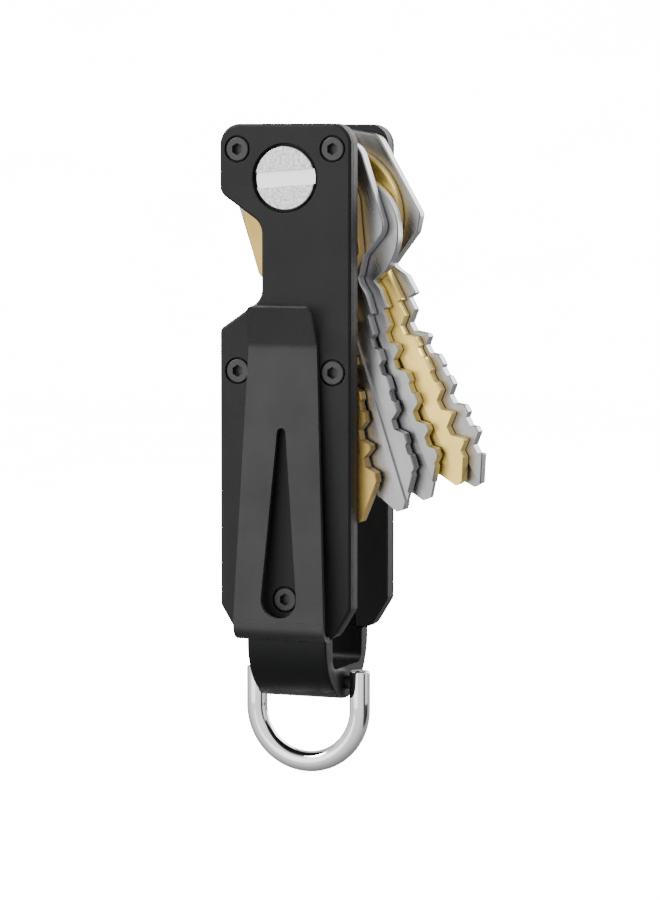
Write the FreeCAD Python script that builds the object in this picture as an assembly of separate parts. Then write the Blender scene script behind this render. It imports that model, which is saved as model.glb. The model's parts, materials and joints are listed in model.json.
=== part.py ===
import FreeCAD, Part
import math
import os

from FreeCAD import Vector

# Key organiser: a fan of keys on one pivot between two screwed side plates, with a pocket clip on the
# front and a bail on a bracket below. Millimetres. +X right, +Y from the front to the back, +Z up.
# Origin: on the outer face of the front cover, on its centre line, at the height where the clip touches.

# ---- side plates ----
plate_width = 20.0
plate_top = 31.35           # top edge above the origin
plate_bottom = -41.75       # bottom edge
cover_thick = 1.0
liner_thick = 2.0
top_corner_radius = 3.0
corner_cut_width = 2.7      # the two sloped lower corners
corner_cut_height = 4.35
corner_cut_round = 2.1      # round between a sloped corner and the bottom edge
corner_cut_start_round = 1.0
neck_cut_depth = 6.4        # recess on the left edge
neck_cut_top = 21.55        # where the recess leaves the left edge, going down
neck_flat_top = 17.2
neck_flat_bottom = 6.55
neck_cut_bottom = 2.2
neck_upper_round = 1.8
neck_inner_round = 2.6
neck_lower_round = 1.0
cover_edge_break = 0.35
liner_edge_break = 0.2
layer_edge_break = 0.08     # on the edges where cover and liner meet

# ---- keys and pivot ----
pivot_below_top = 7.7       # pivot axis below the plate's top edge
key_thick = 2.1
washer_thick = 0.2
stack_play = 0.025          # between neighbouring faces of the stack
post_radius = 2.5
pivot_head_radius = 4.5
pivot_recess_gap = 0.45     # between the pivot's head and its recess
pivot_slot_width = 2.15
pivot_slot_depth = 0.6
pivot_slot_turn = 4.0       # degrees
pivot_thread_radius = 1.5
pivot_thread_length = 8.0
pivot_hole_margin = 1.0     # the threaded hole runs past the thread by this
pivot_end_gap = 0.3         # between the post's end and the pivot screw's head
washer_radius = 4.6
running_clearance = 0.05    # radial, what turns on a post or pin
thread_clearance = 0.03     # radial, where a thread is drawn plain
press_clearance = 0.02

# ---- cover screws ----
screw_side_inset = 2.75     # screw axis from the plate's side edge
top_screw_below_top = 3.6   # below the plate's top edge
mid_screw_height = -3.75
low_screw_above_bottom = 5.5
screw_head_radius = 1.7
screw_recess_gap = 0.22     # between a screw's head and its recess
screw_head_height = 0.6
screw_shank_radius = 1.0
screw_hole_gap = 0.1        # round the shank in the cover
screw_end_gap = 0.1         # screw ends below the inner face
hex_width = 1.5             # across flats
hex_depth = 1.1
head_edge_break = 0.12

# ---- pocket clip ----
clip_sheet = 0.75
clip_rest_gap = 0.03        # between the clip and the cover at rest, before the contact bend's own rise
clip_lip_height = 5.6
clip_lip_reach = 2.4        # sheet centre in front of the cover at the lip's end
clip_arm_reach = 2.42       # sheet centre in front of the cover at the bottom
clip_contact_bend = 2.5
clip_low_bend = 1.5
clip_foot_bend = 0.6
clip_low_width = 13.8
clip_contact_width = 10.4
clip_lip_width = 9.8
clip_lip_round = 1.4
clip_waist_round = 4.0
clip_foot_width = 9.8
clip_foot_reach = 8.35      # foot's end above the plate's bottom edge
clip_under = 0.25           # the clip's underside below the plate's bottom edge
clip_split_above = 2.55     # the springy arm begins this far above the plate's bottom edge
clip_slot_offset = 0.25     # centre of the slot's wide end above the low screw
clip_slot_radius = 2.7
clip_slot_high = -12.3      # centre of the slot's narrow end
clip_slot_tip_radius = 0.65
fit_gap = 0.03              # between clamped faces, so that neighbours never overlap
overrun = 1.0               # solids that cut or are trimmed reach past the material by this
pocket_gap = 0.1            # round a tongue or foot in its pocket

# ---- loop bracket and bail ----
bracket_width = 12.1
bracket_inset = 0.4         # outer face behind the cover's outer face
bracket_arc_drop = 0.95     # centre of the round underside below the plate's bottom edge
bracket_drop_gap = 0.06     # below the plate or the clip
tongue_width = 10.0
tongue_reach = 8.75         # tongue's end above the plate's bottom edge
knuckle_wall = 2.35         # from the pin's axis up to the window and down to the underside
window_round = 1.5
window_wall = 0.3           # window side wall behind the liner's inner face, at the bottom
bracket_edge_round = 0.4
bracket_stock = 6.0         # height above the arc's centre before the top is trimmed
pin_radius = 1.0
bail_wire = 3.0             # diameter
bail_side_gap = 0.45        # between the bracket's side and the wire
bail_top = 1.7              # arm ends above the pin
bail_straight = 3.95        # from the pin down to the round end
pin_blind_depth = 2.2       # pin's seat in each arm

# ---- keys, front to back: name, swing from hanging (degrees), bow, half width of the shoulder,
#      half width of the blade, blade length from shoulder to tip, grooves (from, to) ----
keys = [
    ("key_1_brass", 11.3, "trapezoid", 5.0, 4.1, 28.0, ((-2.0, 0.2),)),
    ("key_2_silver", 18.0, "square", 4.7, 4.05, 27.8, ((-2.4, 0.3), (1.2, 2.0))),
    ("key_3_silver", 22.0, "pear", 4.8, 4.1, 27.4, ((-1.6, 1.9),)),
    ("key_4_gold", 27.4, "round", 4.3, 3.7, 27.2, ((-2.4, 0.3),)),
    ("key_5_silver", 29.2, "octagon", 5.2, 3.95, 28.4, ((-1.8, 0.4),)),
]
shoulder_below = 21.8       # shoulder below the key's hole
shoulder_round = 0.3
blade_root_round = 0.15
first_cut_below = 3.9       # first cut below the shoulder
cut_pitch = 3.97
cut_count = 6
cut_shallowest = 0.4
cut_step = 0.3              # between one level of depth and the next
cut_levels = 5
cut_root = 1.3              # flat at the bottom of a cut
cut_root_round = 0.15
cut_slope = 50.0            # degrees from the blade's edge
tip_flat = 1.3
tip_length = 5.2
tip_round = 0.3
taper_round = 0.5           # where the blade starts to narrow to its tip
neck_half_width = 4.3
neck_end = 16.5             # bow ends here, below the hole
neck_round = 1.5
neck_into_bow = 4.0         # the blade's piece reaches this far up into the bow
flare_start = 0.6           # the neck widens to the shoulder between these, below the bow
flare_end = 2.4
flare_round = 1.0
round_bow_radius = 10.5
round_bow_drop = 6.3        # centre of the round bow below the hole
pear_lug_radius = 5.3
pear_disc_radius = 8.6
pear_disc_place = (2.3, -9.2)
groove_depth = 0.5
groove_start = 1.2          # grooves begin below the shoulder
key_edge_break = 0.15

# ---- derived places ----
half_width = plate_width / 2
key_count = len(keys)
bay = key_count * key_thick + (key_count + 1) * washer_thick + 2 * (key_count + 1) * stack_play
side_thick = cover_thick + liner_thick
depth = 2 * side_thick + bay
mid_depth = depth / 2
bay_front = side_thick
bay_back = depth - side_thick
screw_x = half_width - screw_side_inset
pivot_height = plate_top - pivot_below_top
top_screw_height = plate_top - top_screw_below_top
low_screw_height = plate_bottom + low_screw_above_bottom
pivot_recess_radius = pivot_head_radius + pivot_recess_gap
screw_recess_radius = screw_head_radius + screw_recess_gap
screw_hole_radius = screw_shank_radius + screw_hole_gap
clip_foot_top = plate_bottom + clip_foot_reach
clip_split_height = plate_bottom + clip_split_above
clip_slot_low = low_screw_height + clip_slot_offset
tongue_top = plate_bottom + tongue_reach
bracket_radius = mid_depth - bracket_inset
bracket_arc_height = plate_bottom - bracket_arc_drop
pin_height = bracket_arc_height - bracket_radius + knuckle_wall
window_floor = pin_height + knuckle_wall
bail_spread = bracket_width + bail_wire + 2 * bail_side_gap
pivot_seat = cover_thick    # both pivot heads sit on their liner, through a hole in the cover
tongue_thick = liner_thick - clip_sheet - 2 * fit_gap


def arc_mid(centre, start, end, radius):
    """Point on the short arc halfway between start and end."""
    middle = (start + end) * 0.5 - centre
    return centre + middle.normalize() * radius


def rounded_wire(corners):
    """Closed wire through (point, radius) corners, each one rounded by a tangent arc."""
    count = len(corners)
    ends = []
    for i in range(count):
        point, radius = corners[i]
        before = (corners[i - 1][0] - point).normalize()
        after = (corners[(i + 1) % count][0] - point).normalize()
        straight = before.cross(after).Length < 1e-6
        if radius <= 0 or straight:
            ends.append((point, None, point))
            continue
        half = before.getAngle(after) / 2
        reach = radius / math.tan(half)
        centre = point + (before + after).normalize() * (radius / math.sin(half))
        start = point + before * reach
        end = point + after * reach
        ends.append((start, arc_mid(centre, start, end, radius), end))
    edges = []
    for i in range(count):
        start, middle, end = ends[i]
        if middle is not None:
            edges.append(Part.Arc(start, middle, end).toShape())
        following = ends[(i + 1) % count][0]
        if (following - end).Length > 1e-6:
            edges.append(Part.LineSegment(end, following).toShape())
    return Part.Wire(edges)


def front_prism(corners, front, back):
    """Solid between two depths from (x, z, radius) corners."""
    wire = rounded_wire([(Vector(x, front, z), radius) for x, z, radius in corners])
    return Part.Face(wire).extrude(Vector(0, back - front, 0))


def side_prism(corners, width):
    """Solid centred on x = 0 from (y, z, radius) corners."""
    wire = rounded_wire([(Vector(-width / 2, y, z), radius) for y, z, radius in corners])
    return Part.Face(wire).extrude(Vector(width, 0, 0))


def rod_y(radius, front, back, x=0.0, z=0.0):
    return Part.makeCylinder(radius, back - front, Vector(x, front, z), Vector(0, 1, 0))


def mirrored(shape):
    """The same piece on the other side of the bay."""
    return shape.mirror(Vector(0, mid_depth, 0), Vector(0, 1, 0))


def strip_corners(path, thickness):
    """Corners of a bent strip from the (y, z, bend radius) points of its centre line."""
    half = thickness / 2
    points = [Vector(y, z, 0) for y, z, bend in path]
    sides = {1: [], -1: []}
    for i, point in enumerate(points):
        along = []
        if i > 0:
            along.append((point - points[i - 1]).normalize())
        if i < len(points) - 1:
            along.append((points[i + 1] - point).normalize())
        normals = [Vector(-d.y, d.x, 0) for d in along]
        mean = sum(normals[1:], normals[0]).normalize()
        miter = half / mean.dot(normals[0])
        turn = 0.0
        if len(along) == 2:
            turn = along[0].cross(along[1]).z
        for side in (1, -1):
            corner = point + mean * (miter * side)
            bend = path[i][2]
            if bend > 0:
                bend = bend - half * side * math.copysign(1, turn)
            sides[side].append((corner.x, corner.y, bend))
    return sides[1] + sides[-1][::-1]


def edges_at_depth(shape, level):
    """Edges that lie wholly at one depth."""
    found = []
    for edge in shape.Edges:
        box = edge.BoundBox
        if max(abs(box.YMin - level), abs(box.YMax - level)) < 1e-5:
            found.append(edge)
    return found


def plate_outline():
    return [
        (half_width, plate_top, top_corner_radius),
        (half_width, plate_bottom + corner_cut_height, corner_cut_start_round),
        (half_width - corner_cut_width, plate_bottom, corner_cut_round),
        (-half_width + corner_cut_width, plate_bottom, corner_cut_round),
        (-half_width, plate_bottom + corner_cut_height, corner_cut_start_round),
        (-half_width, neck_cut_bottom, neck_lower_round),
        (-half_width + neck_cut_depth, neck_flat_bottom, neck_inner_round),
        (-half_width + neck_cut_depth, neck_flat_top, neck_inner_round),
        (-half_width, neck_cut_top, neck_upper_round),
        (-half_width, plate_top, top_corner_radius),
    ]


def cover_screw_places():
    return [(side * screw_x, height) for height in (top_screw_height, mid_screw_height) for side in (-1, 1)]


def all_screw_places():
    return cover_screw_places() + [(0.0, low_screw_height)]


def clip_under_height():
    return plate_bottom - clip_under


def clip_notch():
    """Room under the cover for the strip that wraps round its bottom edge."""
    inner_bend = clip_foot_bend - clip_sheet / 2
    top = clip_under_height() + clip_sheet + inner_bend + fit_gap
    width = clip_foot_width + 2 * pocket_gap
    low = plate_bottom - overrun
    corner = Vector(-width / 2, -overrun, low)
    return Part.makeBox(width, cover_thick + 2 * overrun, top - low, corner)


def cover(with_clip_notch):
    """Front cover. The back one is its mirror image, without the clip's notch."""
    plate = front_prism(plate_outline(), 0, cover_thick)
    plate = plate.makeChamfer(cover_edge_break, edges_at_depth(plate, 0))
    plate = plate.makeChamfer(layer_edge_break, edges_at_depth(plate, cover_thick))
    plate = plate.cut(rod_y(pivot_recess_radius, -overrun, cover_thick + overrun, 0, pivot_height))
    for x, z in all_screw_places():
        plate = plate.cut(rod_y(screw_hole_radius, -overrun, cover_thick + overrun, x, z))
        plate = plate.cut(rod_y(screw_recess_radius, -overrun, screw_head_height, x, z))
    if with_clip_notch:
        plate = plate.cut(clip_notch())
    return plate


def liner():
    """Front liner: the inner layer, tapped for the cover screws, with a pocket for the bracket's tongue."""
    plate = front_prism(plate_outline(), cover_thick, side_thick)
    plate = plate.makeChamfer(liner_edge_break, edges_at_depth(plate, side_thick))
    plate = plate.makeChamfer(layer_edge_break, edges_at_depth(plate, cover_thick))
    plate = plate.cut(rod_y(post_radius + press_clearance, 0, side_thick + overrun, 0, pivot_height))
    for x, z in cover_screw_places():
        plate = plate.cut(rod_y(screw_shank_radius + thread_clearance, 0, side_thick + overrun, x, z))
    width = tongue_width + 2 * pocket_gap
    pocket_top = tongue_top + pocket_gap
    low = plate_bottom - overrun
    corner = Vector(-width / 2, cover_thick - overrun, low)
    pocket = Part.makeBox(width, liner_thick + 2 * overrun, pocket_top - low, corner)
    return plate.cut(pocket)


def hex_bit(x, z, front, back):
    corner = hex_width / math.sqrt(3)
    points = []
    for i in range(7):
        turn = math.radians(60 * i + 90)
        points.append(Vector(x + corner * math.cos(turn), front, z + corner * math.sin(turn)))
    return Part.Face(Part.makePolygon(points)).extrude(Vector(0, back - front, 0))


def flush_screw(x, z, end):
    """Socket screw, flush with the front cover, ending at the given depth."""
    head = rod_y(screw_head_radius, 0, screw_head_height - fit_gap, x, z)
    head = head.makeChamfer(head_edge_break, edges_at_depth(head, 0))
    shank = rod_y(screw_shank_radius, screw_head_height - 2 * fit_gap, end, x, z)
    return head.fuse(shank).removeSplitter().cut(hex_bit(x, z, -overrun, hex_depth))


def cover_screws():
    end = side_thick - screw_end_gap
    return Part.makeCompound([flush_screw(x, z, end) for x, z in cover_screw_places()])


def low_screw():
    """The lower screw: it clamps what lies under the cover to the bracket's tongue."""
    return flush_screw(0.0, low_screw_height, side_thick - screw_end_gap)


def pivot_slot(front):
    length = 2 * pivot_head_radius + 1
    corner = Vector(-length / 2, -overrun, -pivot_slot_width / 2)
    slot = Part.makeBox(length, pivot_slot_depth + overrun, pivot_slot_width, corner)
    slot.rotate(Vector(0, 0, 0), Vector(0, 1, 0), -pivot_slot_turn)
    slot.translate(Vector(0, front, pivot_height))
    return slot


def pivot_head():
    head = rod_y(pivot_head_radius, 0, pivot_seat - fit_gap, 0, pivot_height)
    head = head.makeChamfer(head_edge_break, edges_at_depth(head, 0))
    return head.cut(pivot_slot(0))


def pivot_screw():
    end = pivot_seat + pivot_thread_length
    shank = rod_y(pivot_thread_radius, pivot_seat - 2 * fit_gap, end, 0, pivot_height)
    return pivot_head().fuse(shank).removeSplitter()


def pivot_post():
    """Sleeve nut from the back: the keys turn on its barrel."""
    front_end = pivot_seat + pivot_end_gap
    barrel = rod_y(post_radius, front_end, depth - pivot_seat + 2 * fit_gap, 0, pivot_height)
    hole_end = pivot_seat + pivot_thread_length + pivot_hole_margin
    hole = rod_y(pivot_thread_radius + thread_clearance, front_end - overrun, hole_end, 0, pivot_height)
    return mirrored(pivot_head()).fuse(barrel).removeSplitter().cut(hole)


def stack_face(index):
    """Depth of the front face of washer number index, counted from the front."""
    return bay_front + stack_play + index * (washer_thick + key_thick + 2 * stack_play)


def washer(index):
    front = stack_face(index)
    disc = rod_y(washer_radius, front, front + washer_thick, 0, pivot_height)
    end = front + washer_thick + overrun
    return disc.cut(rod_y(post_radius + running_clearance, front - overrun, end, 0, pivot_height))


def clip_path():
    """Centre line of the clip's sheet, from the lip down and under the cover to the end of the foot."""
    half = clip_sheet / 2
    under = clip_under_height() + half
    return [
        (-clip_lip_reach, clip_lip_height, 0),
        (-half - clip_rest_gap, 0, clip_contact_bend),
        (-clip_arm_reach, under, clip_low_bend),
        (cover_thick + fit_gap + half, under, clip_foot_bend),
        (cover_thick + fit_gap + half, clip_foot_top, 0),
    ]


def clip_strip():
    return side_prism(strip_corners(clip_path(), clip_sheet), clip_low_width)


def teardrop(front, back):
    """Slot with a wide round end below and a narrow round end above."""
    run = clip_slot_high - clip_slot_low
    lean = math.asin((clip_slot_radius - clip_slot_tip_radius) / run)
    low = Vector(0, front, clip_slot_low)
    high = Vector(0, front, clip_slot_high)
    right = Vector(math.cos(lean), 0, math.sin(lean))
    left = Vector(-math.cos(lean), 0, math.sin(lean))
    up = Vector(0, 0, 1)
    low_right = low + right * clip_slot_radius
    low_left = low + left * clip_slot_radius
    high_right = high + right * clip_slot_tip_radius
    high_left = high + left * clip_slot_tip_radius
    edges = [
        Part.Arc(low_right, low - up * clip_slot_radius, low_left).toShape(),
        Part.LineSegment(low_left, high_left).toShape(),
        Part.Arc(high_left, high + up * clip_slot_tip_radius, high_right).toShape(),
        Part.LineSegment(high_right, low_right).toShape(),
    ]
    return Part.Face(Part.Wire(edges)).extrude(Vector(0, back - front, 0))


def clip_arm():
    """The springy part of the clip, above the bend."""
    front = -clip_lip_reach - clip_arm_reach
    lip_end = clip_lip_height + clip_sheet / 4
    outline = front_prism([
        (clip_lip_width / 2, lip_end, clip_lip_round),
        (clip_contact_width / 2, 0, clip_waist_round),
        (clip_low_width / 2, clip_split_height, 0),
        (-clip_low_width / 2, clip_split_height, 0),
        (-clip_contact_width / 2, 0, clip_waist_round),
        (-clip_lip_width / 2, lip_end, clip_lip_round),
    ], front, 0.5 * cover_thick)
    return clip_strip().common(outline).cut(teardrop(front, 0.5 * cover_thick))


def clip_foot():
    """The bend round the cover's bottom edge and the foot clamped behind the cover."""
    front = -clip_lip_reach - clip_arm_reach
    low = plate_bottom - 2
    bend = Part.makeBox(clip_low_width, -clip_rest_gap - front, clip_split_height - low,
                        Vector(-clip_low_width / 2, front, low))
    foot = Part.makeBox(clip_foot_width, 2 * side_thick, clip_foot_top - low + 1,
                        Vector(-clip_foot_width / 2, -clip_rest_gap, low))
    strip = clip_strip().common(bend.fuse(foot))
    return strip.cut(rod_y(screw_hole_radius, front, side_thick, 0, low_screw_height))


def tongue(front, back):
    low = window_floor + window_round
    return Part.makeBox(tongue_width, back - front, tongue_top - low, Vector(-tongue_width / 2, front, low))


def bracket_body():
    """The U below the plates: round outside, flat-floored window inside, thick knuckle for the pin."""
    radius = bracket_radius
    front_top = clip_under_height() - bracket_drop_gap
    back_top = plate_bottom - bracket_drop_gap
    half = bracket_width / 2
    arc_start = Vector(-half, mid_depth, bracket_arc_height)
    round_part = Part.makeCylinder(radius, bracket_width, arc_start, Vector(1, 0, 0))
    stock_corner = Vector(-half, bracket_inset, bracket_arc_height)
    upper = Part.makeBox(bracket_width, 2 * radius, bracket_stock, stock_corner)
    body = round_part.fuse(upper).removeSplitter()
    trim_width = bracket_width + 2 * overrun
    trim_depth = mid_depth + overrun
    trim_height = bracket_stock + radius
    for front, top in ((-overrun, front_top), (mid_depth, back_top)):
        corner = Vector(-half - overrun, front, top)
        body = body.cut(Part.makeBox(trim_width, trim_depth, trim_height, corner))
    return body.makeFillet(bracket_edge_round, outer_curve_edges(body, radius))


def outer_curve_edges(body, radius):
    """The edges of the bracket's round underside."""
    circles = [e for e in body.Edges if e.Curve.TypeId == "Part::GeomCircle"]
    return [e for e in circles if abs(e.Curve.Radius - radius) < 1e-6]


def loop_bracket():
    window = side_prism([
        (bay_front, plate_bottom + 1, 0),
        (bay_back, plate_bottom + 1, 0),
        (bay_back - window_wall, window_floor, window_round),
        (bay_front + window_wall, window_floor, window_round),
    ], bracket_width + 2)
    front_tongue = tongue(side_thick - tongue_thick, side_thick)
    back_tongue = tongue(depth - side_thick, depth - cover_thick - fit_gap)
    bracket = bracket_body().fuse(front_tongue).fuse(back_tongue).removeSplitter().cut(window)
    bracket = bracket.cut(rod_y(screw_shank_radius + thread_clearance, -1, depth + 1, 0, low_screw_height))
    pin_hole = Part.makeCylinder(pin_radius + running_clearance, bracket_width + 2,
                                 Vector(-bracket_width / 2 - 1, mid_depth, pin_height), Vector(1, 0, 0))
    return bracket.cut(pin_hole)


def bail():
    """Round wire bent to a U, its arms seated on the pin."""
    wire_radius = bail_wire / 2
    half = bail_spread / 2
    top = pin_height + bail_top
    round_centre = pin_height - bail_straight
    path = Part.Wire([
        Part.LineSegment(Vector(half, mid_depth, top), Vector(half, mid_depth, round_centre)).toShape(),
        Part.Arc(Vector(half, mid_depth, round_centre), Vector(0, mid_depth, round_centre - half),
                 Vector(-half, mid_depth, round_centre)).toShape(),
        Part.LineSegment(Vector(-half, mid_depth, round_centre), Vector(-half, mid_depth, top)).toShape(),
    ])
    start = Part.Wire(Part.makeCircle(wire_radius, Vector(half, mid_depth, top), Vector(0, 0, -1)))
    ring = path.makePipeShell([start], True, True)
    inner = half - wire_radius
    reach = inner + pin_blind_depth + 0.1
    seat = Part.makeCylinder(pin_radius + press_clearance, 2 * reach,
                             Vector(-reach, mid_depth, pin_height), Vector(1, 0, 0))
    return ring.cut(seat)


def bail_pin():
    reach = bail_spread / 2 - bail_wire / 2 + pin_blind_depth
    return Part.makeCylinder(pin_radius, 2 * reach, Vector(-reach, mid_depth, pin_height), Vector(1, 0, 0))


def bow_corners(kind):
    """Right half and left half of a bow, as (x, z, radius) corners from the neck round to the neck."""
    halves = {
        "square": [(6.0, -13.6, 1.5), (10.2, -11.0, 2.6), (10.2, 1.2, 3.0), (6.5, 5.6, 3.0)],
        "octagon": [
            (9.6, -14.2, 0.8), (11.35, -12.2, 1.2), (11.2, 0.9, 2.2), (6.5, 4.6, 2.0), (2.5, 6.2, 2.0),
        ],
        "trapezoid": [
            (6.4, -14.4, 1.0), (7.9, -12.4, 1.2), (8.7, -4.6, 3.0), (7.6, 2.6, 3.0), (4.0, 5.8, 3.0),
        ],
    }
    right = [(neck_half_width, -neck_end, neck_round)] + halves[kind]
    return right + [(-x, z, radius) for x, z, radius in reversed(right)]


def disc(radius, x, z):
    return rod_y(radius, 0, key_thick, x, z)


def pear_bow():
    """A large disc set to one side, joined to a smaller lug round the hole."""
    lug = pear_lug_radius
    big = pear_disc_radius
    centre = Vector(pear_disc_place[0], 0, pear_disc_place[1])
    along = Vector(centre).normalize()
    across = Vector(-along.z, 0, along.x)
    lean = math.asin((big - lug) / centre.Length)
    corners = []
    for side in (1, -1):
        normal = across * (side * math.cos(lean)) - along * math.sin(lean)
        corners.append((normal * lug, centre + normal * big))
    points = [corners[0][0], corners[0][1], corners[1][1], corners[1][0], corners[0][0]]
    body = Part.Face(Part.makePolygon(points)).extrude(Vector(0, key_thick, 0))
    return body.fuse(disc(big, centre.x, centre.z)).fuse(disc(lug, 0, 0))


def bow(kind):
    if kind == "round":
        return disc(round_bow_radius, 0, -round_bow_drop)
    if kind == "pear":
        return pear_bow()
    return front_prism(bow_corners(kind), 0, key_thick)


def blade(shoulder_half, blade_half, length):
    """Neck, shoulder and uncut blade, from inside the bow to the tip."""
    shoulder = -shoulder_below
    end = shoulder - length
    taper = end + tip_length
    half = [
        (neck_half_width, -neck_end + neck_into_bow, 0),
        (neck_half_width, -neck_end - flare_start, neck_round),
        (shoulder_half, -neck_end - flare_end, flare_round),
        (shoulder_half, shoulder, shoulder_round),
        (blade_half, shoulder, blade_root_round),
        (blade_half, taper, taper_round),
        (tip_flat / 2, end, tip_round),
    ]
    corners = half + [(-x, z, radius) for x, z, radius in reversed(half)]
    return front_prism(corners, 0, key_thick)


def cut_depths(index):
    """Depths from the shoulder to the tip, by a made-up rule that differs from key to key."""
    levels = [((index + 1) * i * i + 3 * i + index) % cut_levels for i in range(cut_count)]
    return [cut_shallowest + cut_step * level for level in levels]


def cuts(blade_half, index):
    """The stepped cuts along the right edge, as one solid to take away."""
    tools = []
    slope = math.tan(math.radians(cut_slope))
    outer = blade_half + overrun
    for i, cut_depth in enumerate(cut_depths(index)):
        place = -shoulder_below - first_cut_below - i * cut_pitch
        root = blade_half - cut_depth
        flare = (outer - root) / slope
        top = place + cut_root / 2
        bottom = place - cut_root / 2
        tools.append(front_prism([
            (root, top, cut_root_round),
            (outer, top + flare, 0),
            (outer, bottom - flare, 0),
            (root, bottom, cut_root_round),
        ], -overrun, key_thick + overrun))
    return tools[0].multiFuse(tools[1:])


def grooves(places, length):
    """Milled channels along both faces of the blade, out through the tip."""
    tools = []
    top = -shoulder_below - groove_start
    run = length + 2
    for left, right in places:
        width = right - left
        for face in (-1, key_thick - groove_depth):
            tools.append(Part.makeBox(width, 1 + groove_depth, run, Vector(left, face, top - run)))
    return tools


def key(index, swing, bow_kind, shoulder_half, blade_half, length, groove_places):
    """One key, modelled hanging with its hole at the origin, then put in its place in the stack."""
    body = bow(bow_kind).fuse(blade(shoulder_half, blade_half, length)).removeSplitter()
    outline = edges_at_depth(body, 0) + edges_at_depth(body, key_thick)
    body = body.makeChamfer(key_edge_break, outline)
    body = body.cut(cuts(blade_half, index))
    body = body.cut(rod_y(post_radius + running_clearance, -overrun, key_thick + overrun))
    for tool in grooves(groove_places, length):
        body = body.cut(tool)
    body.rotate(Vector(0, 0, 0), Vector(0, 1, 0), -swing)
    body.translate(Vector(0, stack_face(index) + washer_thick + stack_play, pivot_height))
    return body


def build():
    nodes = {
        "front_cover": cover(True),
        "back_cover": mirrored(cover(False)),
        "front_liner": liner(),
        "back_liner": mirrored(liner()),
        "front_cover_screws": cover_screws(),
        "back_cover_screws": mirrored(cover_screws()),
        "clip_screw": low_screw(),
        "loop_screw": mirrored(low_screw()),
        "loop_bracket": loop_bracket(),
        "pivot_screw": pivot_screw(),
        "pivot_post": pivot_post(),
        "clip_foot": clip_foot(),
        "clip_arm": clip_arm(),
        "bail": bail(),
        "bail_pin": bail_pin(),
        "front_washer": washer(0),
        "back_washer": washer(key_count),
    }
    for i in range(1, key_count):
        nodes["spacer_washer_%d" % i] = washer(i)
    for index, (name, *sizes) in enumerate(keys):
        nodes[name] = key(index, *sizes)
    return nodes


os.makedirs("parts", exist_ok=True)
for node, shape in build().items():
    if not shape.isValid():
        raise ValueError("invalid shape: " + node)
    shape.exportStep("parts/%s.step" % node)
    print("%-20s solids %d volume %.2f" % (node, len(shape.Solids), shape.Volume))
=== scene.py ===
import json
import math

import bmesh
import bpy
from bpy.props import FloatProperty, FloatVectorProperty, PointerProperty
from mathutils import Matrix, Vector

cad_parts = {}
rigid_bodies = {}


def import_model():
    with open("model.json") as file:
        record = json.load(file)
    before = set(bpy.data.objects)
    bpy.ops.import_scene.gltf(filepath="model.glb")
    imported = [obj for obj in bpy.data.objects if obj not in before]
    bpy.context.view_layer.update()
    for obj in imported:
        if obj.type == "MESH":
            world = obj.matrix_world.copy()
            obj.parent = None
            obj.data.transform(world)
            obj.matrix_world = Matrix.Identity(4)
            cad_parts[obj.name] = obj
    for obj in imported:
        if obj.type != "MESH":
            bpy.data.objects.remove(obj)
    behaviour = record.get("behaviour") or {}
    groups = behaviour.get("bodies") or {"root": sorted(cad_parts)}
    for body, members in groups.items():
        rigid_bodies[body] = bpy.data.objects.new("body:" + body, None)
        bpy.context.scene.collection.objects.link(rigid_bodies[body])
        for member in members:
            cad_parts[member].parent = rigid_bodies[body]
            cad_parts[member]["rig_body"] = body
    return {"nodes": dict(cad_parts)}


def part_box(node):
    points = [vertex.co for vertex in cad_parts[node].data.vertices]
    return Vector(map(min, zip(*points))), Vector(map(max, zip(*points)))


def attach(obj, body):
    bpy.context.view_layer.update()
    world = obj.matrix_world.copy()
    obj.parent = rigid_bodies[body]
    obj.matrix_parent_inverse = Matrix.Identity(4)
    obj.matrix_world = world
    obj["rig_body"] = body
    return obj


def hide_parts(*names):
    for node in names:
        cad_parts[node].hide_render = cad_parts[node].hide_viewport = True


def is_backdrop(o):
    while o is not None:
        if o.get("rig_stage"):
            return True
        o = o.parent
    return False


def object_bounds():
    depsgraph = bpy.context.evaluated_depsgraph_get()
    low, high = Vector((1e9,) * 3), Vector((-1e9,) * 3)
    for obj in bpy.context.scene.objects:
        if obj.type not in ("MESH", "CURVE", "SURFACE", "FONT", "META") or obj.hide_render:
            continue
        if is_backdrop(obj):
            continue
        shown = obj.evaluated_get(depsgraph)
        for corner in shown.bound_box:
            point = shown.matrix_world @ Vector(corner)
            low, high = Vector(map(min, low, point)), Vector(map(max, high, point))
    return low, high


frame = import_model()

bl_info = {
    "name": "Key organiser",
    "version": (1, 0, 0),
    "blender": (4, 5, 0),
    "location": "3D View > Sidebar > Organiser",
    "description": "Finishes a pocket key organiser around its packed frame",
    "category": "Object",
}

MM = 0.001

PLATES = ("front_cover", "back_cover", "front_liner", "back_liner")
SCREWS = ("front_cover_screws", "back_cover_screws", "clip_screw", "loop_screw")
WASHERS = tuple(n for n in sorted(frame["nodes"]) if "washer" in n)
# each key's finish, and how far it is swung from hanging, in degrees, which its polishing lines follow
KEYS = {
    "key_1_brass": ("brass", 11.3),
    "key_2_silver": ("nickel", 18.0),
    "key_3_silver": ("nickel", 22.0),
    "key_4_gold": ("gold", 27.4),
    "key_5_silver": ("nickel", 29.2),
}
# soft lamps: place in metres, width and height in metres, and watts
LAMPS = {
    "key_softbox": ((-0.58, -0.34, 0.70), 0.4, 0.4, 11.0),
    "level_softbox": ((-0.36, -0.80, 0.20), 0.8, 0.8, 2.4),
    "back_softbox": ((0.25, 0.80, 0.30), 0.7, 0.8, 9.0),
    "right_softbox": ((0.85, 0.15, 0.25), 0.6, 0.9, 1.6),
}
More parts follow.
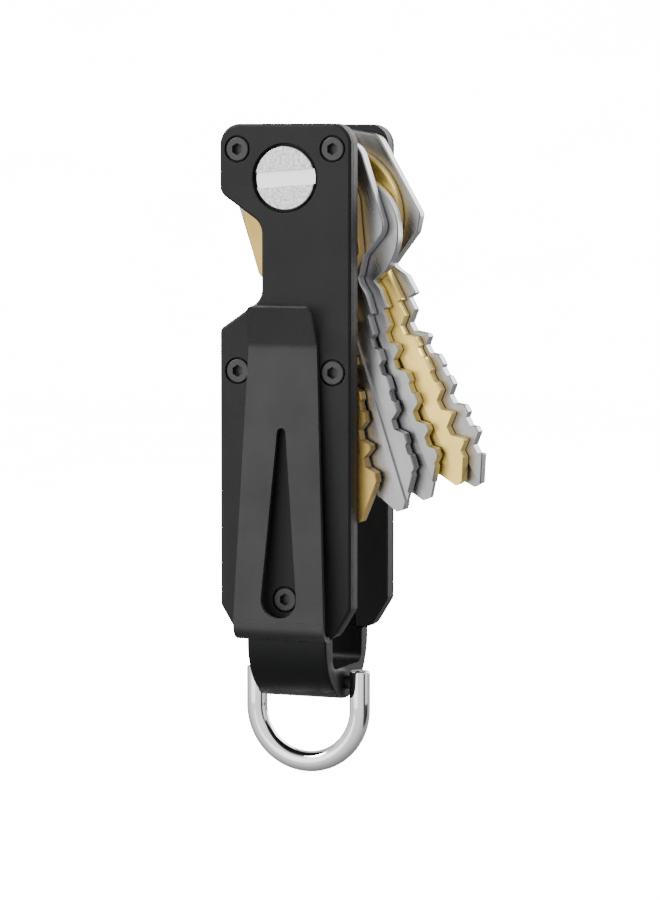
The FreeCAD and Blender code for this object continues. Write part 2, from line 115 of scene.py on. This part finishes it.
# what dims the room as shiny metal shows it: the direction it lies along, where it starts and ends on
# that direction, and the brightness at its start and end
ROOM = (
    ("Z", 0.75, 0.9, 1.0, 0.04),    # dark ceiling
    ("X", 0.84, 0.9, 1.0, 0.1),     # dark curtain on the right
    ("Y", -0.85, 0.35, 1.0, 0.4),   # the room falls off behind
    ("Z", -0.9, 0.2, 0.4, 1.0),     # floor
)
PATTERN_LOW, PATTERN_HIGH = 0.3, 0.7    # the range that a noise pattern really uses
MIX_FACTOR, MIX_FIRST, MIX_SECOND, MIX_COLOUR = 0, 6, 7, 2     # the colour mix's sockets and its result
BLASTED_TO, MILLED_FROM = 0.3 * MM, 0.35 * MM   # depth below the front where the pivot's finish changes
LINE_SHAPE = 0.04                       # a polishing line's width over its length
MERGE_WITHIN = 0.0005 * MM              # corners closer than this are one corner
FLAT_WITHIN = math.radians(0.5)         # faces that meet flatter than this are one face
SMOOTH_BELOW = math.radians(30)         # a curve's facets meet flatter than this
BREAK_ABOVE = math.radians(32)          # edges sharper than this are broken


def linear(code):
    """An sRGB hex colour as linear red, green and blue."""
    channels = [int(code[i:i + 2], 16) / 255 for i in (1, 3, 5)]
    return tuple(c / 12.92 if c <= 0.04045 else ((c + 0.055) / 1.055) ** 2.4 for c in channels)


def opaque(colour):
    return (*colour, 1.0)


def per_metre(size_mm):
    """A texture's scale for features of a real size."""
    return 1 / (size_mm * MM)


# ---------------------------------------------------------------- materials

def add(tree, kind, inputs=None, **settings):
    """One node with its settings and links: a socket given as an input is linked, a value is set."""
    node = tree.nodes.new(kind)
    for name, value in settings.items():
        setattr(node, name, value)
    for name, value in (inputs or {}).items():
        socket = node.inputs[name]
        if isinstance(value, bpy.types.NodeSocket):
            tree.links.new(value, socket)
        else:
            socket.default_value = value
    return node


def new_material(name):
    """An empty material with its shader and output."""
    material = bpy.data.materials.new(name)
    material.use_nodes = True
    tree = material.node_tree
    tree.nodes.clear()
    shader = add(tree, "ShaderNodeBsdfPrincipled")
    add(tree, "ShaderNodeOutputMaterial", {"Surface": shader.outputs["BSDF"]})
    return material, tree, shader


def shade(light, factor):
    return tuple(channel * factor for channel in light)


def finish(name, dark, light, stain_mm, rough, grit_mm, relief_mm=0.0, relief=0.0, details=(2.0, 2.0),
           lengthwise=None, milled=False, **uniform):
    """A finish whose tone drifts from dark to light by a soft stain, and whose gloss and relief follow a
    grit. The grit can be drawn out along a blade, and can end where a face is milled."""
    material, tree, shader = new_material(name)
    where = add(tree, "ShaderNodeTexCoord").outputs["Object"]
    along = where
    if lengthwise is not None:
        turned = add(tree, "ShaderNodeMapping", {
            "Vector": where, "Rotation": (0, math.radians(lengthwise), 0)})
        along = add(tree, "ShaderNodeMapping", {
            "Vector": turned.outputs["Vector"], "Scale": (1, 1, LINE_SHAPE)}).outputs["Vector"]
    patterns = []
    for vector, size_mm, detail in ((where, stain_mm, details[0]), (along, grit_mm, details[1])):
        pattern = add(tree, "ShaderNodeTexNoise", {
            "Vector": vector, "Scale": per_metre(size_mm), "Detail": detail,
            "Roughness": 0.55}).outputs["Fac"]
        if milled:
            depth = add(tree, "ShaderNodeSeparateXYZ", {"Vector": where}).outputs["Y"]
            smooth = add(tree, "ShaderNodeMapRange", {
                "Value": depth, "From Min": BLASTED_TO, "From Max": MILLED_FROM, "To Max": 0.5})
            pattern = add(tree, "ShaderNodeMath", {0: pattern, 1: smooth.outputs["Result"]},
                          operation="ADD", use_clamp=True).outputs["Value"]
        patterns.append(pattern)
    stain, grit = patterns
    drift = add(tree, "ShaderNodeMapRange", {
        "Value": stain, "From Min": PATTERN_LOW, "From Max": PATTERN_HIGH})
    tone = add(tree, "ShaderNodeMix", {
        MIX_FACTOR: drift.outputs["Result"], MIX_FIRST: opaque(dark), MIX_SECOND: opaque(light)},
        data_type="RGBA")
    tree.links.new(tone.outputs[MIX_COLOUR], shader.inputs["Base Color"])
    if rough[0] == rough[1]:
        shader.inputs["Roughness"].default_value = rough[0]
    else:
        gloss = add(tree, "ShaderNodeMapRange", {
            "Value": grit, "From Min": PATTERN_LOW, "From Max": PATTERN_HIGH,
            "To Min": rough[0], "To Max": rough[1]})
        tree.links.new(gloss.outputs["Result"], shader.inputs["Roughness"])
    if relief:
        bump = add(tree, "ShaderNodeBump", {"Height": grit, "Distance": relief_mm * MM, "Strength": relief})
        tree.links.new(bump.outputs["Normal"], shader.inputs["Normal"])
    for socket, value in uniform.items():
        shader.inputs[socket].default_value = value
    return material


def black_coating(name, colour, roughness, grit_mm, relief, sheen=0.2, cloud_mm=9.0):
    """A dyed or painted black skin: no metal shows, the sheen is soft, and its tone drifts a little."""
    return finish(name, shade(colour, 0.86), shade(colour, 1.14), cloud_mm,
                  (roughness - 0.05, roughness + 0.05), grit_mm, 0.01, relief,
                  **{"IOR": 1.5, "Specular IOR Level": sheen})


def anodised_aluminium(colour, grit_mm):
    """Bead-blasted, then dyed and sealed: an even, matte black with a fine soft sparkle. The real grit of
    0.05 mm is too fine to show, so it is drawn coarser."""
    return black_coating("bead_blasted_anodised_aluminium", colour, 0.5, grit_mm, 0.16)


def smooth_anodising(colour):
    """Machined, tumbled smooth and dyed: darker and silkier than the plates."""
    return black_coating("tumbled_anodised_aluminium", colour, 0.38, 0.3, 0.05)


def coated_spring_steel(colour):
    """Stamped spring steel with a satin baked coat: it takes a broad, quiet sheen."""
    return black_coating("satin_coated_spring_steel", colour, 0.44, 0.2, 0.07)


def black_oxide(colour):
    """Machined steel, blackened in a bath: a thin skin over fine turning, so a little brighter."""
    return black_coating("black_oxide_steel", colour, 0.4, 0.12, 0.1, sheen=0.5, cloud_mm=1.5)


def blasted_steel(colour):
    """Stainless steel blasted with fine sand, then slotted: the face has a sparkle of light and dark
    grains, and what is milled below it is smoother and brighter. The grains are drawn coarser than real."""
    return finish("sand_blasted_stainless_steel", shade(colour, 0.42), colour, 0.4, (0.5, 0.34), 0.4,
                  0.03, 0.5, details=(4.0, 4.0), milled=True, Metallic=1.0)


def chrome_plate(colour):
    """Bright chrome on polished steel: a mirror, with the faintest haze from handling."""
    return finish("bright_chrome_plate", shade(colour, 0.95), colour, 5.0, (0.03, 0.08), 5.0, Metallic=1.0)


def key_metal(name, colour, roughness, turn, stain_mm):
    """Stamped key blank, polished lengthwise and then carried: fine lines along the blade and soft
    stains. The lines are drawn coarser than real."""
    return finish(name, shade(colour, 0.82), colour, stain_mm, (roughness - 0.04, roughness + 0.05), 0.22,
                  0.005, 0.05, details=(2.0, 3.0), lengthwise=turn, Metallic=1.0)


def nylon(colour):
    """Stamped from extruded sheet: milky and slightly waxy."""
    return finish("extruded_nylon", shade(colour, 0.93), colour, 1.2, (0.45, 0.45), 1.2, IOR=1.53)


# ------------------------------------------------------------------- pieces


def show(piece, node, material):
    """Puts a finished piece in the place of the frame's node."""
    piece.data.materials.clear()
    piece.data.materials.append(material)
    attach(piece, frame["nodes"][node]["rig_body"])
    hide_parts(node)
    return piece


def link_piece(name, shape):
    mesh = bpy.data.meshes.new(name)
    shape.to_mesh(mesh)
    shape.free()
    piece = bpy.data.objects.new(name, mesh)
    bpy.context.scene.collection.objects.link(piece)
    return piece


def soften_edges(piece, width):
    """Breaks the sharp edges, so that they catch the light as a deburred part does."""
    bevel = piece.modifiers.new("edge_break", "BEVEL")
    bevel.width = width
    bevel.segments = 2
    bevel.limit_method = "ANGLE"
    bevel.angle_limit = BREAK_ABOVE
    bevel.use_clamp_overlap = True
    bevel.harden_normals = True


def finished_copy(node, material, edge_width):
    """A merged copy of a frame node, with its curves smooth and its edges broken."""
    shape = bmesh.new()
    shape.from_mesh(frame["nodes"][node].data)
    bmesh.ops.remove_doubles(shape, verts=shape.verts, dist=MERGE_WITHIN)
    bmesh.ops.dissolve_limit(shape, angle_limit=FLAT_WITHIN, verts=shape.verts, edges=shape.edges)
    for face in shape.faces:
        face.smooth = True
    for edge in shape.edges:
        edge.smooth = len(edge.link_faces) == 2 and edge.calc_face_angle() < SMOOTH_BELOW
    piece = link_piece(node + "_finished", shape)
    soften_edges(piece, edge_width)
    return show(piece, node, material)


def bail_ring(material, rim_round):
    """Round wire: down one arm, round the bottom and up the other, with turned ends."""
    low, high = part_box("bail")
    wire = (high.y - low.y) / 2
    spread = (high.x - low.x) / 2 - wire
    middle = (high.y + low.y) / 2
    centre = Vector((0, middle, low.z + wire + spread))
    shape = bmesh.new()
    start = Matrix.Translation((spread, middle, high.z))
    bmesh.ops.create_circle(shape, cap_ends=False, radius=wire, segments=48, matrix=start)
    ring = list(shape.edges)
    arm = bmesh.ops.extrude_edge_only(shape, edges=ring)["geom"]
    arm_verts = [g for g in arm if isinstance(g, bmesh.types.BMVert)]
    arm_edges = [g for g in arm if isinstance(g, bmesh.types.BMEdge) and set(g.verts) <= set(arm_verts)]
    bmesh.ops.translate(shape, verts=arm_verts, vec=(0, 0, centre.z - high.z))
    last = bmesh.ops.spin(shape, geom=arm_verts + arm_edges, cent=centre, axis=(0, 1, 0),
                          angle=math.pi, steps=72, use_duplicate=False)["geom_last"]
    turned = [g for g in last if isinstance(g, bmesh.types.BMEdge)]
    arm = bmesh.ops.extrude_edge_only(shape, edges=turned)["geom"]
    arm_verts = [g for g in arm if isinstance(g, bmesh.types.BMVert)]
    bmesh.ops.translate(shape, verts=arm_verts, vec=(0, 0, high.z - centre.z))
    open_edges = [edge for edge in shape.edges if edge.is_boundary]
    caps = bmesh.ops.holes_fill(shape, edges=open_edges, sides=0)["faces"]
    rims = [edge for face in caps for edge in face.edges]
    bmesh.ops.bevel(shape, geom=rims, offset=rim_round, offset_type="OFFSET", segments=3, profile=0.5,
                    affect="EDGES", material=-1)
    bmesh.ops.recalc_face_normals(shape, faces=shape.faces)
    for face in shape.faces:
        face.smooth = len(face.verts) == 4
    piece = link_piece("bail_ring", shape)
    return show(piece, "bail", material)


# ----------------------------------------------------------------- settings

class OrganiserBody(bpy.types.PropertyGroup):
    plate_colour: FloatVectorProperty(
        name="Plate colour", description="Dye of the side plates", subtype="COLOR",
        default=linear("#303031"), min=0, max=1)
    bracket_colour: FloatVectorProperty(
        name="Bracket colour", description="Dye of the loop bracket", subtype="COLOR",
        default=linear("#151516"), min=0, max=1)
    clip_colour: FloatVectorProperty(
        name="Clip colour", description="Coat of the pocket clip", subtype="COLOR",
        default=linear("#505051"), min=0, max=1)
    screw_colour: FloatVectorProperty(
        name="Screw colour", description="Blackened steel of the screws", subtype="COLOR",
        default=linear("#3a3a3b"), min=0, max=1)
    plate_grit: FloatProperty(
        name="Plate grit", description="Size of the blasting's grain", default=0.18 * MM, min=0.02 * MM,
        precision=6, unit="LENGTH")
    edge_break: FloatProperty(
        name="Edge break", description="Width of the broken edges", default=0.06 * MM, unit="LENGTH")


class OrganiserMetal(bpy.types.PropertyGroup):
    nickel: FloatVectorProperty(
        name="Nickel", description="Nickel-plated keys", subtype="COLOR", default=linear("#a4a4a6"))
    gold: FloatVectorProperty(
        name="Bright brass", description="The bright brass key", subtype="COLOR", default=linear("#ffdd7a"))
    brass: FloatVectorProperty(
        name="Worn brass", description="The worn brass key", subtype="COLOR", default=linear("#c8a960"))
    chrome: FloatVectorProperty(
        name="Chrome", description="Plating of the bail", subtype="COLOR", default=linear("#f2f2f4"))
    steel: FloatVectorProperty(
        name="Steel", description="The pivot's blasted steel", subtype="COLOR", default=linear("#f2f2f2"))
    washer: FloatVectorProperty(
        name="Nylon", description="The washers", subtype="COLOR", default=linear("#e4e2da"))
    bail_rim: FloatProperty(
        name="Bail rim", description="Round on the ends of the bail's arms", default=0.25 * MM, unit="LENGTH")
    key_edge: FloatProperty(
        name="Key edge", description="Width of the keys' worn edges", default=0.05 * MM, unit="LENGTH")


class OrganiserStage(bpy.types.PropertyGroup):
    azimuth: FloatProperty(
        name="Azimuth", description="Camera's turn round the object", default=math.radians(21.36),
        subtype="ANGLE")
    elevation: FloatProperty(
        name="Elevation", description="Camera's height angle", default=math.radians(4.65), subtype="ANGLE")
    distance: FloatProperty(
        name="Distance", description="From the camera to the point it looks at", default=523.6 * MM,
        unit="LENGTH")
    look_at: FloatVectorProperty(
        name="Look at", description="The point the camera looks at", subtype="XYZ", unit="LENGTH",
        default=(3.73 * MM, 8.12 * MM, -15.35 * MM))
    lens: FloatProperty(name="Lens", description="Focal length", default=145.7, unit="CAMERA")
    floor_gap: FloatProperty(
        name="Floor gap", description="Room under the bail", default=14 * MM, unit="LENGTH")
    cove: FloatProperty(
        name="Cove", description="Brightness of the floor and wall as the camera sees them", default=16.0,
        min=0)
    soft_light: FloatProperty(
        name="Soft light", description="Even light of the room", default=0.08, min=0)
    shown_light: FloatProperty(
        name="Shown light", description="Brightness of the room in what is shiny", default=1.6, min=0)


# ---------------------------------------------------------------- operators

class ORGANISER_OT_side_plates(bpy.types.Operator):
    """Finish the covers and liners"""
    bl_idname = "organiser.side_plates"
    bl_label = "Side plates"

    def execute(self, context):
        sizes = context.scene.organiser_body
        material = anodised_aluminium(sizes.plate_colour, sizes.plate_grit / MM)
        for node in PLATES:
            finished_copy(node, material, sizes.edge_break)
        return {"FINISHED"}


class ORGANISER_OT_pocket_clip(bpy.types.Operator):
    """Finish the pocket clip's arm and foot"""
    bl_idname = "organiser.pocket_clip"
    bl_label = "Pocket clip"

    def execute(self, context):
        sizes = context.scene.organiser_body
        material = coated_spring_steel(sizes.clip_colour)
        for node in ("clip_arm", "clip_foot"):
            finished_copy(node, material, sizes.edge_break)
        return {"FINISHED"}


class ORGANISER_OT_screws(bpy.types.Operator):
    """Finish the socket screws"""
    bl_idname = "organiser.screws"
    bl_label = "Socket screws"

    def execute(self, context):
        sizes = context.scene.organiser_body
        material = black_oxide(sizes.screw_colour)
        for node in SCREWS:
            finished_copy(node, material, sizes.edge_break / 2)
        return {"FINISHED"}


class ORGANISER_OT_pivot(bpy.types.Operator):
    """Finish the slotted pivot screw and its post"""
    bl_idname = "organiser.pivot"
    bl_label = "Pivot"

    def execute(self, context):
        material = blasted_steel(context.scene.organiser_metal.steel)
        for node in ("pivot_screw", "pivot_post"):
            finished_copy(node, material, 2 * context.scene.organiser_body.edge_break)
        return {"FINISHED"}


class ORGANISER_OT_bracket(bpy.types.Operator):
    """Finish the loop bracket"""
    bl_idname = "organiser.bracket"
    bl_label = "Loop bracket"

    def execute(self, context):
        sizes = context.scene.organiser_body
        finished_copy("loop_bracket", smooth_anodising(sizes.bracket_colour), 2 * sizes.edge_break)
        return {"FINISHED"}


class ORGANISER_OT_bail(bpy.types.Operator):
    """Make the bail and finish its pin"""
    bl_idname = "organiser.bail"
    bl_label = "Bail"

    def execute(self, context):
        metal = context.scene.organiser_metal
        bail_ring(chrome_plate(metal.chrome), metal.bail_rim)
        pin = black_oxide(context.scene.organiser_body.screw_colour)
        finished_copy("bail_pin", pin, metal.key_edge)
        return {"FINISHED"}


class ORGANISER_OT_keys(bpy.types.Operator):
    """Finish the keys"""
    bl_idname = "organiser.keys"
    bl_label = "Keys"

    def execute(self, context):
        metal = context.scene.organiser_metal
        # name, colour, roughness and size of the stains in millimetres
        finishes = {
            "nickel": ("polished_nickel_plate", metal.nickel, 0.3, 7.0),
            "gold": ("polished_bright_brass", metal.gold, 0.3, 9.0),
            "brass": ("worn_brass", metal.brass, 0.36, 4.0),
        }
        for node, (kind, swing) in KEYS.items():
            name, colour, roughness, stain_mm = finishes[kind]
            material = key_metal("%s_%s" % (name, node), colour, roughness, swing, stain_mm)
            finished_copy(node, material, metal.key_edge)
        return {"FINISHED"}


class ORGANISER_OT_washers(bpy.types.Operator):
    """Give the washers their nylon"""
    bl_idname = "organiser.washers"
    bl_label = "Washers"

    def execute(self, context):
        material = nylon(context.scene.organiser_metal.washer)
        for node in WASHERS:
            slots = frame["nodes"][node].material_slots
            if not slots:
                raise RuntimeError("%s has no material slot" % node)
            for slot in slots:
                slot.material = material
        return {"FINISHED"}


def softbox(name, place_at, target, width, height, power):
    """An even rectangular light, aimed at the object."""
    light = bpy.data.lights.new(name, "AREA")
    light.shape = "RECTANGLE"
    light.size = width
    light.size_y = height
    light.energy = power
    lamp = bpy.data.objects.new(name, light)
    lamp.location = place_at
    lamp.rotation_euler = (target - Vector(place_at)).to_track_quat("-Z", "Y").to_euler()
    lamp.visible_camera = False
    bpy.context.scene.collection.objects.link(lamp)


def pale_cove(height, brightness):
    """A round floor whose rim curves up into a wall, with no horizon on any side. Only the camera sees it,
    so the light on the object comes from the room and the lamps."""
    floor_radius, rise, top = 1.4, 0.5, 1.6
    shape = bmesh.new()
    profile = [shape.verts.new((x, 0, height + z)) for x, z in (
        (0.0, 0.0), (floor_radius, 0.0), (floor_radius + rise, rise), (floor_radius + rise, top))]
    for pair in zip(profile, profile[1:]):
        shape.edges.new(pair)
    bmesh.ops.bevel(shape, geom=[profile[1], profile[2]], offset=rise * 0.6, offset_type="OFFSET",
                    segments=12, profile=0.5, affect="VERTICES", material=-1)
    bmesh.ops.spin(shape, geom=shape.verts[:] + shape.edges[:], cent=(0, 0, 0), axis=(0, 0, 1),
                   angle=math.tau, steps=96, use_merge=True, use_duplicate=False)
    bmesh.ops.remove_doubles(shape, verts=shape.verts, dist=MM)
    for face in shape.faces:
        face.smooth = True
    cove = link_piece("pale_cove", shape)
    material, tree, shader = new_material("lit_matt_paper")
    fibre = add(tree, "ShaderNodeTexNoise", {
        "Vector": add(tree, "ShaderNodeTexCoord").outputs["Object"], "Scale": per_metre(60.0),
        "Roughness": 0.55})
    drift = add(tree, "ShaderNodeMapRange", {
        "Value": fibre.outputs["Fac"], "From Min": PATTERN_LOW, "From Max": PATTERN_HIGH})
    tone = add(tree, "ShaderNodeMix", {
        MIX_FACTOR: drift.outputs["Result"], MIX_FIRST: opaque(linear("#fbfbfb")),
        MIX_SECOND: opaque(linear("#ffffff"))},
        data_type="RGBA")
    tree.links.new(tone.outputs[MIX_COLOUR], shader.inputs["Emission Color"])
    shader.inputs["Emission Strength"].default_value = brightness
    shader.inputs["Base Color"].default_value = opaque(linear("#f4f4f4"))
    shader.inputs["Roughness"].default_value = 0.9
    cove.data.materials.append(material)
    cove.visible_diffuse = cove.visible_glossy = cove.visible_transmission = cove.visible_shadow = False
    cove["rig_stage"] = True


def room_light(soft, shown):
    """The room: dim and even as a light, and pale with darker parts in what is shiny."""
    world = bpy.data.worlds.new("room")
    world.use_nodes = True
    tree = world.node_tree
    tree.nodes.clear()
    where = add(tree, "ShaderNodeTexCoord").outputs["Generated"]
    toward = add(tree, "ShaderNodeSeparateXYZ", {"Vector": where})
    shiny = shown
    for axis, start, end, at_start, at_end in ROOM:
        part = add(tree, "ShaderNodeMapRange", {
            "Value": toward.outputs[axis], "From Min": start, "From Max": end,
            "To Min": at_start, "To Max": at_end}).outputs["Result"]
        shiny = add(tree, "ShaderNodeMath", {0: shiny, 1: part}, operation="MULTIPLY").outputs["Value"]
    glossy = add(tree, "ShaderNodeLightPath").outputs["Is Glossy Ray"]
    strength = add(tree, "ShaderNodeMix", {"Factor": glossy, "A": soft, "B": shiny}, data_type="FLOAT")
    background = add(tree, "ShaderNodeBackground", {
        "Color": opaque((1, 1, 1)), "Strength": strength.outputs["Result"]})
    add(tree, "ShaderNodeOutputWorld", {"Surface": background.outputs["Background"]})
    bpy.context.scene.world = world


class ORGANISER_OT_stage(bpy.types.Operator):
    """Set the floor, the lights and the camera"""
    bl_idname = "organiser.stage"
    bl_label = "Stage"

    def execute(self, context):
        stage = context.scene.organiser_stage
        low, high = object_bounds()
        middle = (low + high) / 2
        pale_cove(low.z - stage.floor_gap, stage.cove)
        room_light(stage.soft_light, stage.shown_light)
        for name, (place_at, width, height, power) in LAMPS.items():
            softbox(name, place_at, middle, width, height, power)
        camera = bpy.data.objects.new("camera", bpy.data.cameras.new("camera"))
        camera.data.lens = stage.lens
        camera.data.clip_start = 0.01
        a, e = stage.azimuth, stage.elevation
        back = Vector((math.sin(a) * math.cos(e), -math.cos(a) * math.cos(e), math.sin(e)))
        camera.location = Vector(stage.look_at) + back * stage.distance
        camera.rotation_euler = (-back).to_track_quat("-Z", "Y").to_euler()
        context.scene.collection.objects.link(camera)
        context.scene.camera = camera
        return {"FINISHED"}


class ORGANISER_PT_panel(bpy.types.Panel):
    """The organiser's pieces, in the order they are made"""
    bl_idname = "ORGANISER_PT_panel"
    bl_label = "Key organiser"
    bl_space_type = "VIEW_3D"
    bl_region_type = "UI"
    bl_category = "Organiser"

    def draw(self, context):
        for operator in OPERATORS:
            self.layout.operator(operator.bl_idname)
        for name, group in SETTINGS:
            for size in group.__annotations__:
                self.layout.prop(getattr(context.scene, name), size)


OPERATORS = (
    ORGANISER_OT_side_plates, ORGANISER_OT_pocket_clip, ORGANISER_OT_screws, ORGANISER_OT_pivot,
    ORGANISER_OT_bracket, ORGANISER_OT_bail, ORGANISER_OT_keys, ORGANISER_OT_washers, ORGANISER_OT_stage,
)
SETTINGS = (
    ("organiser_body", OrganiserBody),
    ("organiser_metal", OrganiserMetal),
    ("organiser_stage", OrganiserStage),
)


def register():
    for cls in [group for name, group in SETTINGS] + [*OPERATORS, ORGANISER_PT_panel]:
        bpy.utils.register_class(cls)
    for name, group in SETTINGS:
        setattr(bpy.types.Scene, name, PointerProperty(type=group))


def unregister():
    for name, group in SETTINGS:
        delattr(bpy.types.Scene, name)
    for cls in [ORGANISER_PT_panel, *reversed(OPERATORS)] + [group for name, group in SETTINGS]:
        bpy.utils.unregister_class(cls)


def main():
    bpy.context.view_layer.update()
    register()
    for operator in OPERATORS:
        group, name = operator.bl_idname.split(".")
        getattr(getattr(bpy.ops, group), name)()


if __name__ == "__main__":
    main()
